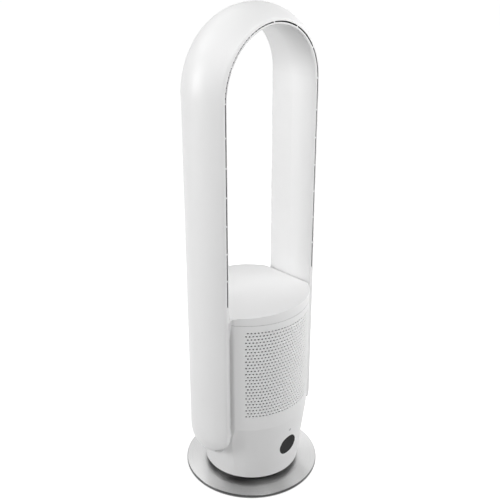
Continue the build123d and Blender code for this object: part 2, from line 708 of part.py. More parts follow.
def groove_ends():
    """Lower ends of the front and rear grooves between a leg and the drum."""
    front_y = -REAR_Y - 5
    floor = [(-y, z) for y, z in GROOVE_END]
    outline = Polyline(*floor, (front_y, floor[-1][1]), (front_y, LEG_FOOT_TOP), close=True)
    middle = (LINER_FRONT + LEG_ROOT) / 2
    half_width = (LINER_FRONT - LEG_ROOT) / 2
    front = Pos(middle, 0, 0) * extrude(make_face(Plane.YZ * outline), half_width, both=True)
    return [front, mirror(front, Plane.XZ)]


def tip_notches():
    """What frees the front and rear of a leg's tip from the drum, below a slanting line."""
    bottom = GROOVE_END[-1][1]
    outline = Polyline(*TIP_LINE, (TIP_LINE[-1][0], bottom), (TIP_LINE[0][0], bottom), close=True)
    half_depth = (REAR_Y + 5 - TIP_NOTCH_Y) / 2
    front = extrude(make_face(Plane.XZ * outline), half_depth, both=True)
    front = Pos(0, -TIP_NOTCH_Y - half_depth, 0) * front
    return [front, mirror(front, Plane.XZ)]


def groove_head():
    """Sloped filler on the liner that brings a groove's floor forwards under the cover's corner."""
    (back_y, bottom), (front_y, top) = GROOVE_HEAD
    outline = Polyline((-back_y, bottom), (-front_y, top), (-back_y, top), close=True)
    middle = LINER_FRONT - CORNER_RADIUS / 2
    wedge = Pos(middle, 0, 0) * extrude(make_face(Plane.YZ * outline), CORNER_RADIUS / 2 + 1, both=True)
    wedge -= drum_prism(-GROOVE_HEAD_GAP, bottom - 1, top + 1)
    return wedge & crown_form(GROOVE_HEAD_GAP, bottom - 1)


def scoop():
    """What a flat slanting cut takes off a leg's front below the slot, from the lip to the groove."""
    edge_x, edge_y = SCOOP_EDGE
    inner_x, inner_y = SCOOP_INNER
    rise = inner_y - FACE_Y - SCOOP_CLEAR
    sections = []
    for z, shift in ((GROOVE_END[-1][1], 0), (SCOOP_FULL_Z, 0), (SCOOP_TOP_Z, rise)):
        corners = [(edge_x, shift - edge_y), (inner_x, shift - inner_y), (inner_x, -FAR), (edge_x, -FAR)]
        sections.append(Pos(0, 0, z) * make_face(Polyline(*corners, close=True)))
    return loft(sections, ruled=True)


def duct_hollow():
    """Free section inside one leg."""
    inner = DUCT_ARC_RADIUS - DUCT_WALL
    rear = arc_point(inner, FACE_Y - 4)
    front = arc_point(inner, -NOZZLE_Y)
    return make_face([
        ThreePointArc(front, (DUCT_ARC_CENTRE + inner, 0), rear),
        Polyline(rear, (LINER_REAR + LINER_WALL, FACE_Y - 4), (LINER_FOLD + LINER_WALL, LINER_FOLD_Y),
                 (LINER_FRONT + LINER_WALL - 0.6, -NOZZLE_Y), front),
    ])


def loop_shell():
    """Outer shell of the loop, with the slot closed below its end and both legs' ends."""
    shell = round_loop(shell_section(), LEG_FOOT_TOP)
    closing = block(SLOT_INNER, SLOT_OUTER + 2, -FACE_Y, -NOZZLE_Y, LEG_FOOT_TOP, SLOT_BOTTOM)
    for part in (closing, leg_end()):
        shell += part
        shell += mirrored(part)
    shell -= [scoop(), mirrored(scoop())]
    for side in (-1, 1):
        shell -= air_window(side)
    return shell


def loop_liner():
    liner = round_loop(liner_section(), LEG_FOOT_TOP) + slot_ribs()
    liner -= [scoop(), mirrored(scoop())]
    liner += [groove_head(), mirrored(groove_head())]
    for side in (-1, 1):
        liner -= air_window(side)
    return liner


def liner_point(y):
    """Point on the liner's visible face at a given y."""
    if y < LINER_FOLD_Y:
        share = (LINER_FOLD_Y - y) / (LINER_FOLD_Y + FACE_Y)
        return (LINER_FOLD + share * (LINER_FRONT - LINER_FOLD), y)
    share = (y - LINER_FOLD_Y) / (FACE_Y - LINER_FOLD_Y)
    return (LINER_FOLD + share * (LINER_REAR - LINER_FOLD), y)


def side_seals():
    """Foam strips that fill the shallow wedge between the drum and each leg."""
    seals = []
    for low, high in SEAL_SPANS:
        outline = Polyline((DRUM_HALF_WIDTH, low), liner_point(low), liner_point(high),
                           (DRUM_HALF_WIDTH, high), close=True)
        strip = Pos(0, 0, LEG_FOOT_TOP) * extrude(make_face(outline), SEAL_HEIGHT)
        strip -= air_window(1)
        seals += [strip, mirrored(strip)]
    return seals


# ---- blower ----------------------------------------------------------------------------------
def motor_plate():
    """Plate across the body that carries the fan motor."""
    bottom = MOTOR_PLATE_Z - PLATE_THICKNESS
    plate = body_form(WALL, bottom, MOTOR_PLATE_Z) - cylinder(9, bottom - 5, MOTOR_PLATE_Z + 5)
    for x, y, _ in around(MOTOR_SCREW_CIRCLE, 4, 45):
        plate -= column(MOTOR_SCREW_RADIUS, bottom - 5, MOTOR_PLATE_Z + 5, x, y)
    return plate - block(-30, 30, -120, -86, bottom - 5, MOTOR_PLATE_Z + 5)


def fan_motor():
    bore = SHAFT_RADIUS + PLAY
    motor = turned([(bore, MOTOR_BOTTOM), (MOTOR_RADIUS - 2, MOTOR_BOTTOM), (MOTOR_RADIUS, MOTOR_BOTTOM + 2),
                    (MOTOR_RADIUS, MOTOR_TOP - 2), (MOTOR_RADIUS - 2, MOTOR_TOP), (bore, MOTOR_TOP)])
    for x, y, angle in around(MOTOR_SCREW_CIRCLE, 4, 45):
        motor += Pos(x * 0.9, y * 0.9, MOTOR_TOP - 1) * Rot(0, 0, angle) * Box(18, 10, 2)
        motor -= column(MOTOR_SCREW_RADIUS, MOTOR_TOP - 12, MOTOR_TOP + 5, x, y)
    return motor


def rubber_bushes():
    bushes = []
    for x, y, _ in around(MOTOR_SCREW_CIRCLE, 4, 45):
        bush = column(BUSH_RADIUS, MOTOR_TOP, MOTOR_PLATE_Z - PLATE_THICKNESS, x, y)
        bushes.append(bush - column(MOTOR_SCREW_RADIUS, MOTOR_TOP - 2, MOTOR_PLATE_Z, x, y))
    return bushes


def motor_screws():
    """Screws from below, through the motor's ears and the bushes into the plate."""
    screws = []
    for x, y, _ in around(MOTOR_SCREW_CIRCLE, 4, 45):
        head = column(3, MOTOR_TOP - 3.6, MOTOR_TOP - 2, x, y)
        screws.append(head + column(MOTOR_SCREW_RADIUS, MOTOR_TOP - 2, MOTOR_PLATE_Z + 1, x, y))
    return screws


def blower_deck():
    """Floor of the intake space with the flared inlet of the blower."""
    deck = body_form(WALL, DECK_Z, DECK_Z + PLATE_THICKNESS)
    deck -= cylinder(IMPELLER_EYE + 5, DECK_Z - 5, DECK_Z + 5)
    flare = [(-3, -10), (-3, -5), (0, 0), (6, 3.5), (6, 0), (3, 0), (-1.2, -5), (-1.2, -10)]
    return deck + turned([(IMPELLER_EYE + out, DECK_Z + rise) for out, rise in flare])


def impeller():
    """Backward-curved centrifugal wheel: back plate, hub, blades and front shroud."""
    bottom = IMPELLER_Z
    top = IMPELLER_Z + IMPELLER_HEIGHT
    hub_top = IMPELLER_Z + HUB_HEIGHT
    wheel = turned([(SHAFT_RADIUS, bottom), (IMPELLER_RADIUS, bottom), (IMPELLER_RADIUS, bottom + 2),
                    (2 * HUB_RADIUS, bottom + 2), (HUB_RADIUS, hub_top - 4), (HUB_RADIUS, hub_top),
                    (SHAFT_RADIUS, hub_top)])
    shroud = turned([(IMPELLER_EYE, top), (IMPELLER_EYE, top - 3), (IMPELLER_RADIUS, top - 13),
                     (IMPELLER_RADIUS, top - 11)])
    envelope = turned([(28, bottom + 1), (IMPELLER_RADIUS - 0.5, bottom + 1),
                       (IMPELLER_RADIUS - 0.5, top - 12), (IMPELLER_EYE, top - 2), (38, top - 6)])
    blade_face = make_face([
        ThreePointArc((26, 0), (55, 14), (78, 44)),
        Line((78, 44), (79.5, 43)),
        ThreePointArc((79.5, 43), (56, 12.4), (26, -1.8)),
        Line((26, -1.8), (26, 0)),
    ])
    blade = (Pos(0, 0, bottom) * extrude(blade_face, IMPELLER_HEIGHT)) & envelope
    blades = [Rot(0, 0, 360 * index / BLADES) * blade for index in range(BLADES)]
    return wheel + shroud + blades


def rotor_shaft():
    return cylinder(SHAFT_RADIUS, MOTOR_BOTTOM - 2, IMPELLER_Z + HUB_HEIGHT + 6)


def impeller_nut():
    nut = Pos(0, 0, IMPELLER_Z + HUB_HEIGHT) * extrude(RegularPolygon(7, 6), 5)
    return nut - cylinder(SHAFT_RADIUS, IMPELLER_Z, IMPELLER_Z + IMPELLER_HEIGHT)


# ---- electronics -----------------------------------------------------------------------------
def main_board():
    """Circuit board on four posts, with a transformer, a capacitor and a relay."""
    top = BOARD_Z + BOARD_THICKNESS
    board = block(-48, 48, -66, -34, BOARD_Z, top)
    transformer = block(-42, -20, -62, -44, top, top + 16.4)
    capacitor = cylinder(8, top - 0.6, top + 15.4, 12, -52)
    relay = block(24, 42, -60, -42, top, top + 10.4)
    return board + transformer + capacitor + relay


# ---- write every piece -----------------------------------------------------------------------
def main():
    os.makedirs("parts", exist_ok=True)
    walls = body_walls()
    pieces = {
        "foot_pads": foot_pads(),
        "base_tray": base_tray(),
        "ballast_plate": ballast_plate(),
        "base_disc": base_disc(),
        "base_screws": base_screws(),
        "pedestal": pedestal(),
        "fixed_gear": fixed_gear(),
        "glide_ring": glide_ring(),
        "retaining_washer": retaining_washer(),
        "retaining_nut": retaining_nut(),
        "tower_tray": tower_tray(),
        "tray_screws": tray_screws(),
        "front_housing": front_housing(walls),
        "rear_housing": rear_housing(walls),
        "front_grille": grille_panel(FRONT_HOLE_SIDES),
        "rear_grille": to_rear(grille_panel(REAR_HOLE_SIDES)),
        "front_dust_screen": dust_screen(),
        "rear_dust_screen": to_rear(dust_screen()),
        "top_cover": top_cover(),
        "loop_shell": loop_shell(),
        "loop_liner": loop_liner(),
        "side_seals": side_seals(),
        "display_lens": display_lens(),
        "display_board": display_board(),
        "ir_window": ir_window() & body_form(0, RIM_Z, DRUM_TOP),
        "main_board": main_board(),
        "power_inlet": power_inlet(),
        "oscillation_motor": oscillation_motor(),
        "drive_pinion": pinion(),
        "motor_plate": motor_plate(),
        "fan_motor": fan_motor(),
        "rubber_bushes": rubber_bushes(),
        "motor_screws": motor_screws(),
        "blower_deck": blower_deck(),
        "impeller": impeller(),
        "rotor_shaft": rotor_shaft(),
        "impeller_nut": impeller_nut(),
    }
    for name, piece in pieces.items():
        if isinstance(piece, list):
            piece = Compound(children=piece)
        export_step(piece, f"parts/{name}.step")


main()
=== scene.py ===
"""Looks of the bladeless tower fan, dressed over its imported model. Metres, +Z up, front towards -Y."""
import math

import bpy
from mathutils import Matrix, Quaternion, Vector


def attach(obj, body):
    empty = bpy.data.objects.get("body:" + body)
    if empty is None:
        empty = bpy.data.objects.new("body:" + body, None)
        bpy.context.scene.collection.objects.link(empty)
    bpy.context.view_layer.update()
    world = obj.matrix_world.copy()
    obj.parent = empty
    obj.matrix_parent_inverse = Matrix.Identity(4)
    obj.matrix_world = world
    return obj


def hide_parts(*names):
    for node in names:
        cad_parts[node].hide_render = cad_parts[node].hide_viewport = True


MM = 0.001

# ---- camera: fitted to the photograph, in the fan's real sizes ---------------------------------------
LENS_MM = 65.08
SENSOR_MM = 36.0
CAMERA_PLACE = Vector((-1.1297, -1.0886, 1.2344))
CAMERA_FORWARD = Vector((0.6505, 0.6269, -0.4288))
CAMERA_ROLL = math.radians(0.085)
CAMERA_SHIFT_X = -0.0035
CAMERA_REACH = 50.0

# ---- sizes of the perforated panels ------------------------------------------------------------------
DRUM_RADIUS = 121.3 * MM
DRUM_ARC_CENTRE_Y = 10.5 * MM
DRUM_ARC_HALF = math.radians(48.6)
GRILLE_BOTTOM = 176.0 * MM
GRILLE_TOP = 377.0 * MM
GRILLE_THICKNESS = 2.4 * MM
HOLE_RADIUS = 1.95 * MM
HOLE_CHAMFER = 0.2 * MM
HALF_HOLE_SIDES = 6
HOLE_ROWS = 28
FIRST_ROW_Z = 182.7 * MM
ROW_PITCH = 6.956 * MM
COLUMN_STEPS = 59
EDGE_MARGIN = 2.4 * MM
POINT_DIGITS = 3

# ---- places on the solids that a finish depends on ---------------------------------------------------
ARCH_Z = 812.6 * MM
SLOT_INNER = 116.25 * MM
SLOT_OUTER = 118.85 * MM
SLOT_BOTTOM = 429.6 * MM
THROAT_Y = -51.8 * MM
THROAT_PLAY = 0.03 * MM
SEAM_BOTTOM = 386.55 * MM
SEAM_TOP = 387.05 * MM
DISC_EDGE_RADII = (136.4 * MM, 136.8 * MM)

# ---- colours -----------------------------------------------------------------------------------------
WHITE = (0.80, 0.80, 0.80)
# painted shade: dark colour laid in the nozzle's slot and in the seam under the cover, where the white
# plastic is only in shade
PAINTED_SHADE = (0.10, 0.10, 0.10)
BLACK = (0.050, 0.050, 0.051)
ACETAL = (0.75, 0.75, 0.72)
RUBBER = (0.015, 0.015, 0.015)
FOAM = (0.03, 0.03, 0.03)
LENS_BLACK = (0.006, 0.006, 0.0063)
SMOKE = (0.60, 0.60, 0.61)
FILLED_NYLON = (0.10, 0.10, 0.105)
DISC_STEEL = (0.68, 0.68, 0.68)
DISC_EDGE = (0.09, 0.09, 0.09)
PLATED_STEEL = (0.55, 0.55, 0.54)
SCREEN_THREAD = (0.05, 0.05, 0.052)
BOARD_GREEN = (0.01, 0.10, 0.04)
BOARD_PALER_GREEN = (0.015, 0.13, 0.05)
BOARD_TRACK = (0.05, 0.25, 0.09)

# ---- textures: scales as Blender's nodes take them, depths in metres ---------------------------------
DRIFT_SCALE = 9.0
DRIFT_DETAIL = 2.0
GRAIN_SCALE = 900.0
RUBBER_GRAIN_SCALE = 500.0
FOAM_GRAIN_SCALE = 1500.0
FINE_DETAIL = 3.0
GRAIN_ROUGHNESS_SWING = 0.04
GRAIN_DEPTH = 0.05 * MM
BRUSH_DIMMING = 0.88
BRUSH_ROUGHNESS_SWING = 0.06
BRUSH_STRENGTH = 0.15
BRUSH_DEPTH = 0.03 * MM
STRAIGHT_BRUSH_SCALE = 3000.0
STRAIGHT_BRUSH_STRETCH = (0.05, 1.0, 1.0)
RING_BRUSH_SCALE = 2600.0
DISC_ANISOTROPY = 0.85
QUARTER_TURN = 0.25
THREAD_SCALE = 1 / (5.4 * MM)
THREAD_DIMMING = 0.4
THREAD_DEPTH = 0.2 * MM
THREAD_ROUGHNESS = 0.8
BOARD_SCALE = 120.0
BOARD_ROUGHNESS = 0.4

# ---- lamps: azimuth and elevation in degrees round AIM, distance and side in metres, power in watts ---
AIM = Vector((0.0, 0.0, 0.45))
LAMPS = {
    "rear_left_high": (-147, 45, 2.6, 1.1, 11.5),
    "left_rear": (-120, 15, 2.6, 1.1, 36.5),
    "left_high": (-60, 45, 2.6, 1.1, 6.2),
    "front_left_high": (-20, 45, 2.6, 1.1, 34.5),
    "front_right_near": (45, 9, 0.95, 0.5, 2.3),
    "front_right_high": (22, 55, 2.6, 1.1, 14.0),
    "right": (80, 12, 2.6, 1.1, 12.0),
    "right_rear": (114, 12, 2.6, 1.1, 3.0),
    "rear_high": (160, 45, 2.6, 1.1, 3.0),
}

# ---- floor and surround ------------------------------------------------------------------------------
FLOOR_SIZE = 14.0
FLOOR_COLOUR = (0.55, 0.55, 0.55)
FLOOR_ROUGHNESS = 0.9
FLOOR_GLOW = 0.86
# painted shadow on the floor: radii over which its glow rises to white, and inside which, under the
# base, it is cut
PAINTED_SHADOW_RADII = (0.2, 0.8)
PAINTED_CONTACT_SHADOW_RADII = (0.132, 0.140)
DARK_SIDE = Vector((-0.78, -0.46, 0.42))
DARK_SIDE_ENDS = (-0.05, 0.4)
DARK_SIDE_LEVEL = 0.05

# ---- sockets of Blender's mix node that have no name of their own ------------------------------------
MIX_FACTOR = 0
MIX_LOW = 6
MIX_HIGH = 7
MIX_RESULT = 2


# ---- shader nodes ------------------------------------------------------------------------------------
def new_material(name):
    """A material with its nodes and links."""
    material = bpy.data.materials.new(name)
    material.use_nodes = True
    return material, material.node_tree.nodes, material.node_tree.links


def feed(links, socket, value):
    """Link a socket, or set it to a number or an opaque colour."""
    if isinstance(value, bpy.types.NodeSocket):
        links.new(value, socket)
    elif isinstance(value, tuple):
        socket.default_value = (*value, 1)
    else:
        socket.default_value = value


def math_node(nodes, links, operation, *values):
    """One sum of sockets and plain numbers."""
    node = nodes.new("ShaderNodeMath")
    node.operation = operation
    for socket, value in zip(node.inputs, values):
        feed(links, socket, value)
    return node.outputs["Value"]


def vector_node(nodes, links, operation, vector, other=(0.0, 0.0, 0.0)):
    """Outputs of one sum on a vector, with a second one where it takes two."""
    node = nodes.new("ShaderNodeVectorMath")
    node.operation = operation
    node.inputs[1].default_value = other
    links.new(vector, node.inputs[0])
    return node.outputs


def mixed(nodes, links, factor, low, high):
    """Mix of two colours by a factor."""
    blend = nodes.new("ShaderNodeMix")
    blend.data_type = "RGBA"
    feed(links, blend.inputs[MIX_FACTOR], factor)
    feed(links, blend.inputs[MIX_LOW], low)
    feed(links, blend.inputs[MIX_HIGH], high)
    return blend.outputs[MIX_RESULT]


def spread(nodes, links, source, low, high, given=(0.0, 1.0)):
    """Map a factor, from 0 to 1 unless other ends are given, to a range."""
    node = nodes.new("ShaderNodeMapRange")
    node.inputs["From Min"].default_value = given[0]
    node.inputs["From Max"].default_value = given[1]
    node.inputs["To Min"].default_value = low
    node.inputs["To Max"].default_value = high
    links.new(source, node.inputs["Value"])
    return node.outputs["Result"]


def own_place(nodes):
    """The object's own coordinates, so that a pattern stays on its part from every side."""
    return nodes.new("ShaderNodeTexCoord").outputs["Object"]


def noise(nodes, links, vector, scale, detail):
    """A factor that wanders over the given coordinates."""
    texture = nodes.new("ShaderNodeTexNoise")
    texture.inputs["Scale"].default_value = scale
    texture.inputs["Detail"].default_value = detail
    links.new(vector, texture.inputs["Vector"])
    return texture.outputs["Fac"]


def vary_roughness(nodes, links, factor, roughness, swing):
    """Let a factor swing the roughness about its middle."""
    rough = spread(nodes, links, factor, roughness - swing, roughness + swing)
    links.new(rough, nodes["Principled BSDF"].inputs["Roughness"])


def add_relief(nodes, links, height, strength, depth):
    """Let a factor stand as fine height on the surface."""
    relief = nodes.new("ShaderNodeBump")
    relief.inputs["Strength"].default_value = strength
    relief.inputs["Distance"].default_value = depth
    links.new(height, relief.inputs["Height"])
    links.new(relief.outputs["Normal"], nodes["Principled BSDF"].inputs["Normal"])


def dimmed(colour, share):
    """The colour, with only a share of its light left."""
    return tuple(channel * share for channel in colour)


# ---- materials ---------------------------------------------------------------------------------------
def plastic(name, colour, variation, roughness, bump, grain=GRAIN_SCALE, specular=0.5):
    """Moulded plastic: slow colour drift, fine grain in gloss and height."""
    material, nodes, links = new_material(name)
    shader = nodes["Principled BSDF"]
    place = own_place(nodes)
    drift = noise(nodes, links, place, DRIFT_SCALE, DRIFT_DETAIL)
    tone = mixed(nodes, links, drift, dimmed(colour, 1 - variation), colour)
    links.new(tone, shader.inputs["Base Color"])
    fine = noise(nodes, links, place, grain, FINE_DETAIL)
    vary_roughness(nodes, links, fine, roughness, GRAIN_ROUGHNESS_SWING)
    add_relief(nodes, links, fine, bump, GRAIN_DEPTH)
    shader.inputs["Specular IOR Level"].default_value = specular
    return material


def white_plastic(name):
    """The satin white of the drum, its grilles and cover, and the loop."""
    return plastic(name, WHITE, variation=0.012, roughness=0.42, bump=0.10)


def throat_painted_shade_mask(nodes, links, place):
    """Where the slot's painted shade goes: 1 between the slot's two radii, behind its lips and above its
    foot, so on the loop's back too.
    """
    above = math_node(nodes, links, "SUBTRACT", place["Z"], ARCH_Z)
    above = math_node(nodes, links, "MAXIMUM", above, 0.0)
    square_x = math_node(nodes, links, "MULTIPLY", place["X"], place["X"])
    square_z = math_node(nodes, links, "MULTIPLY", above, above)
    radius = math_node(nodes, links, "SQRT", math_node(nodes, links, "ADD", square_x, square_z))
    outside = math_node(nodes, links, "GREATER_THAN", radius, SLOT_INNER - THROAT_PLAY)
    inside = math_node(nodes, links, "LESS_THAN", radius, SLOT_OUTER + THROAT_PLAY)
    behind = math_node(nodes, links, "GREATER_THAN", place["Y"], THROAT_Y)
    slotted = math_node(nodes, links, "GREATER_THAN", place["Z"], SLOT_BOTTOM)
    band = math_node(nodes, links, "MULTIPLY", outside, inside)
    depth = math_node(nodes, links, "MULTIPLY", behind, slotted)
    return math_node(nodes, links, "MULTIPLY", band, depth)


def seam_painted_shade_mask(nodes, links, place):
    """Where the seam's painted shade goes: 1 at the height of the narrow seam between the drum and its
    cover.
    """
    over = math_node(nodes, links, "GREATER_THAN", place["Z"], SEAM_BOTTOM)
    below = math_node(nodes, links, "LESS_THAN", place["Z"], SEAM_TOP)
    return math_node(nodes, links, "MULTIPLY", over, below)


def plastic_with_painted_shade(name, mask):
    """The white plastic, with painted shade: a dark colour where a mask is 1."""
    material = white_plastic(name)
    nodes, links = material.node_tree.nodes, material.node_tree.links
    colour = nodes["Principled BSDF"].inputs["Base Color"]
    plain = colour.links[0].from_socket
    place = nodes.new("ShaderNodeSeparateXYZ")
    links.new(own_place(nodes), place.inputs["Vector"])
    links.new(mixed(nodes, links, mask(nodes, links, place.outputs), plain, PAINTED_SHADE), colour)
    return material


def brushed(nodes, links, vector, scale, colour, roughness):
    """Fine brushing in gloss and height, along a stretched or ringed coordinate. Returns its colour."""
    factor = noise(nodes, links, vector, scale, FINE_DETAIL)
    vary_roughness(nodes, links, factor, roughness, BRUSH_ROUGHNESS_SWING)
    add_relief(nodes, links, factor, BRUSH_STRENGTH, BRUSH_DEPTH)
    nodes["Principled BSDF"].inputs["Metallic"].default_value = 1.0
    return mixed(nodes, links, factor, dimmed(colour, BRUSH_DIMMING), colour)


def plated_steel(name, colour, roughness):
    """Plated steel, faintly brushed along X."""
    material, nodes, links = new_material(name)
    stretch = nodes.new("ShaderNodeMapping")
    stretch.inputs["Scale"].default_value = STRAIGHT_BRUSH_STRETCH
    links.new(own_place(nodes), stretch.inputs["Vector"])
    tone = brushed(nodes, links, stretch.outputs["Vector"], STRAIGHT_BRUSH_SCALE, colour, roughness)
    links.new(tone, nodes["Principled BSDF"].inputs["Base Color"])
    return material


def disc_steel(name, colour, edge_colour, roughness):
    """Stainless steel brushed in rings round the middle, darker on its cut edge."""
    material, nodes, links = new_material(name)
    shader = nodes["Principled BSDF"]
    flat = vector_node(nodes, links, "MULTIPLY", own_place(nodes), (1.0, 1.0, 0.0))["Vector"]
    radius = vector_node(nodes, links, "LENGTH", flat)["Value"]
    rings = nodes.new("ShaderNodeCombineXYZ")
    links.new(radius, rings.inputs["X"])
    tone = brushed(nodes, links, rings.outputs["Vector"], RING_BRUSH_SCALE, colour, roughness)
    at_edge = spread(nodes, links, radius, 0.0, 1.0, DISC_EDGE_RADII)
    links.new(mixed(nodes, links, at_edge, tone, edge_colour), shader.inputs["Base Color"])
    tangent = nodes.new("ShaderNodeTangent")
    tangent.direction_type = "RADIAL"
    tangent.axis = "Z"
    links.new(tangent.outputs["Tangent"], shader.inputs["Tangent"])
    shader.inputs["Anisotropic"].default_value = DISC_ANISOTROPY
    shader.inputs["Anisotropic Rotation"].default_value = QUARTER_TURN
    return material


def woven(name, colour):
    """Fine woven mesh: crossed threads in colour and height."""
    material, nodes, links = new_material(name)
    shader = nodes["Principled BSDF"]
    place = own_place(nodes)
    threads = []
    for direction in ("X", "Z"):
        wave = nodes.new("ShaderNodeTexWave")
        wave.bands_direction = direction
        wave.inputs["Scale"].default_value = THREAD_SCALE
        links.new(place, wave.inputs["Vector"])
        threads.append(wave.outputs["Fac"])
    weave = math_node(nodes, links, "MULTIPLY", *threads)
    tone = mixed(nodes, links, weave, dimmed(colour, THREAD_DIMMING), colour)
    links.new(tone, shader.inputs["Base Color"])
    add_relief(nodes, links, weave, 1.0, THREAD_DEPTH)
    shader.inputs["Roughness"].default_value = THREAD_ROUGHNESS
    return material


def circuit_board(name):
    """Green board with paler tracks."""
    material, nodes, links = new_material(name)
    shader = nodes["Principled BSDF"]
    cells = nodes.new("ShaderNodeTexBrick")
    cells.inputs["Scale"].default_value = BOARD_SCALE
    feed(links, cells.inputs["Color1"], BOARD_GREEN)
    feed(links, cells.inputs["Color2"], BOARD_PALER_GREEN)
    feed(links, cells.inputs["Mortar"], BOARD_TRACK)
    links.new(own_place(nodes), cells.inputs["Vector"])
    links.new(cells.outputs["Color"], shader.inputs["Base Color"])
    shader.inputs["Roughness"].default_value = BOARD_ROUGHNESS
    return material


def dress_nodes(nodes):
    """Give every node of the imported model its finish, and return the white one."""
    white = white_plastic("white_plastic")
    black = plastic("black_plastic", BLACK, variation=0.25, roughness=0.45, bump=0.20)
    # painted shade: dark colour inside the loop's slot, where the white plastic is only in shade
    duct = plastic_with_painted_shade("duct_plastic_painted_shade", throat_painted_shade_mask)
    # painted shade: dark band along the seam under the cover, where the white plastic is only in shade
    body = plastic_with_painted_shade("body_plastic_painted_shade", seam_painted_shade_mask)
    acetal = plastic("acetal", ACETAL, variation=0.03, roughness=0.40, bump=0.05)
    rubber = plastic("rubber", RUBBER, variation=0.3, roughness=0.75, bump=0.4, grain=RUBBER_GRAIN_SCALE)
    foam = plastic("foam", FOAM, variation=0.4, roughness=0.9, bump=1.0, grain=FOAM_GRAIN_SCALE)
    lens = plastic("black_lens", LENS_BLACK, variation=0.1, roughness=0.14, bump=0.0, specular=0.05)
    smoke = plastic("smoked_window", SMOKE, variation=0.1, roughness=0.2, bump=0.0)
    grey = plastic("filled_nylon", FILLED_NYLON, variation=0.2, roughness=0.5, bump=0.3)
    disc = disc_steel("disc_steel_look", DISC_STEEL, DISC_EDGE, roughness=0.28)
    plated = plated_steel("plated_steel", PLATED_STEEL, roughness=0.35)
    mesh = woven("screen_mesh", SCREEN_THREAD)
    board = circuit_board("circuit_board")
    finishes = {
        white: ["front_grille", "rear_grille"],
        body: ["front_housing", "rear_housing", "top_cover"],
        duct: ["loop_shell", "loop_liner"],
        black: ["base_tray", "pedestal", "tower_tray", "power_inlet", "motor_plate", "blower_deck"],
        acetal: ["fixed_gear", "glide_ring", "drive_pinion"],
        rubber: ["foot_pads", "rubber_bushes"],
        foam: ["side_seals"],
        lens: ["display_lens"],
        smoke: ["ir_window"],
        grey: ["impeller"],
        disc: ["base_disc"],
        plated: ["ballast_plate", "base_screws", "retaining_washer", "retaining_nut", "tray_screws",
                 "oscillation_motor", "fan_motor", "motor_screws", "rotor_shaft", "impeller_nut"],
        mesh: ["front_dust_screen", "rear_dust_screen"],
        board: ["display_board", "main_board"],
    }
    for material, names in finishes.items():
        for name in names:
            for slot in nodes[name].material_slots:
                slot.material = material
    return white


# ---- perforated grille -------------------------------------------------------------------------------
class Sheet:
    """Collects a panel's faces, drawn as distance round the drum, height and depth, and bends them."""

    def __init__(self):
        self.points = []
        self.index = {}
        self.faces = []

    def point(self, along, z, depth):
        """Number of a point, which is made once and shared by the faces that meet there."""
        key = tuple(round(part / MM, POINT_DIGITS) for part in (along, z, depth))
        if key not in self.index:
            self.index[key] = len(self.points)
            angle = along / DRUM_RADIUS
            radius = DRUM_RADIUS - depth
            x = radius * math.sin(angle)
            y = DRUM_ARC_CENTRE_Y - radius * math.cos(angle)
            self.points.append((x, y, z))
        return self.index[key]

    def face(self, corners):
        """One face, from corners that each have their own depth."""
        self.faces.append([self.point(*corner) for corner in corners])

    def skin(self, corners):
        """A front face, wound outwards, and its twin at the back."""
        self.face([(*corner, 0.0) for corner in corners])
        self.face([(*corner, GRILLE_THICKNESS) for corner in reversed(corners)])


def halved(edges):
    """Each stretch between neighbouring edges, cut in two like the sides of the holed tiles."""
    for start, stop in zip(edges, edges[1:]):
        middle = (start + stop) / 2
        yield start, middle
        yield middle, stop


def add_half_hole(sheet, centre, far, z):
    """Tile between a hole's middle line and its far edge, with half a chamfered hole in it."""
    side = 1 if far > centre else -1
    middle = (centre + far) / 2
    low = z - ROW_PITCH / 2
    high = z + ROW_PITCH / 2
    rim = [(centre, low), (middle, low), (far, low), (far, z), (far, high), (middle, high),
           (centre, high)]
    turns = [math.radians(-90 + 180 / HALF_HOLE_SIDES * step) for step in range(HALF_HOLE_SIDES + 1)]
    steps = ((HOLE_RADIUS + HOLE_CHAMFER, 0.0), (HOLE_RADIUS, HOLE_CHAMFER),
             (HOLE_RADIUS, GRILLE_THICKNESS))
    for index in range(HALF_HOLE_SIDES):
        pair = turns[index:index + 2]
        front = [(*corner, 0.0) for corner in rim[index:index + 2]]
        back = [(*corner, GRILLE_THICKNESS) for corner in rim[index:index + 2]]
        layers = []
        for radius, depth in steps:
            layers.append([(centre + side * radius * math.cos(turn), z + radius * math.sin(turn), depth)
                           for turn in pair])
        rings = [front, *layers, back]
        for near, inner in zip(rings, rings[1:]):
            corners = [near[0], near[1], inner[1], inner[0]]
            sheet.face(corners if side > 0 else corners[::-1])


def add_plain(sheet, across, upward):
    """Plain tile between two edges and two levels, cut in four to match the holed tiles beside it."""
    for left, right in halved(across):
        for low, high in halved(upward):
            sheet.skin([(left, low), (right, low), (right, high), (left, high)])


def add_band(sheet, edges, low, high):
    """Plain band across the whole panel, above or below the rows."""
    for left, right in halved(edges):
        sheet.skin([(left, low), (right, low), (right, high), (left, high)])


def add_border(sheet, edges):
    """Narrow side walls round the panel's outside."""
    half = DRUM_RADIUS * DRUM_ARC_HALF
    deep = GRILLE_THICKNESS
    low = FIRST_ROW_Z - ROW_PITCH / 2
    rows = [low + ROW_PITCH / 2 * step for step in range(2 * HOLE_ROWS + 1)]
    levels = [GRILLE_BOTTOM, *rows, GRILLE_TOP]
    for bottom, top in zip(levels, levels[1:]):
        sheet.face([(half, bottom, 0.0), (half, bottom, deep), (half, top, deep), (half, top, 0.0)])
        sheet.face([(-half, top, 0.0), (-half, top, deep), (-half, bottom, deep), (-half, bottom, 0.0)])
    for start, stop in halved(edges):
        sheet.face([(start, GRILLE_TOP, 0.0), (stop, GRILLE_TOP, 0.0), (stop, GRILLE_TOP, deep),
                    (start, GRILLE_TOP, deep)])
        sheet.face([(stop, GRILLE_BOTTOM, 0.0), (start, GRILLE_BOTTOM, 0.0),
                    (start, GRILLE_BOTTOM, deep), (stop, GRILLE_BOTTOM, deep)])


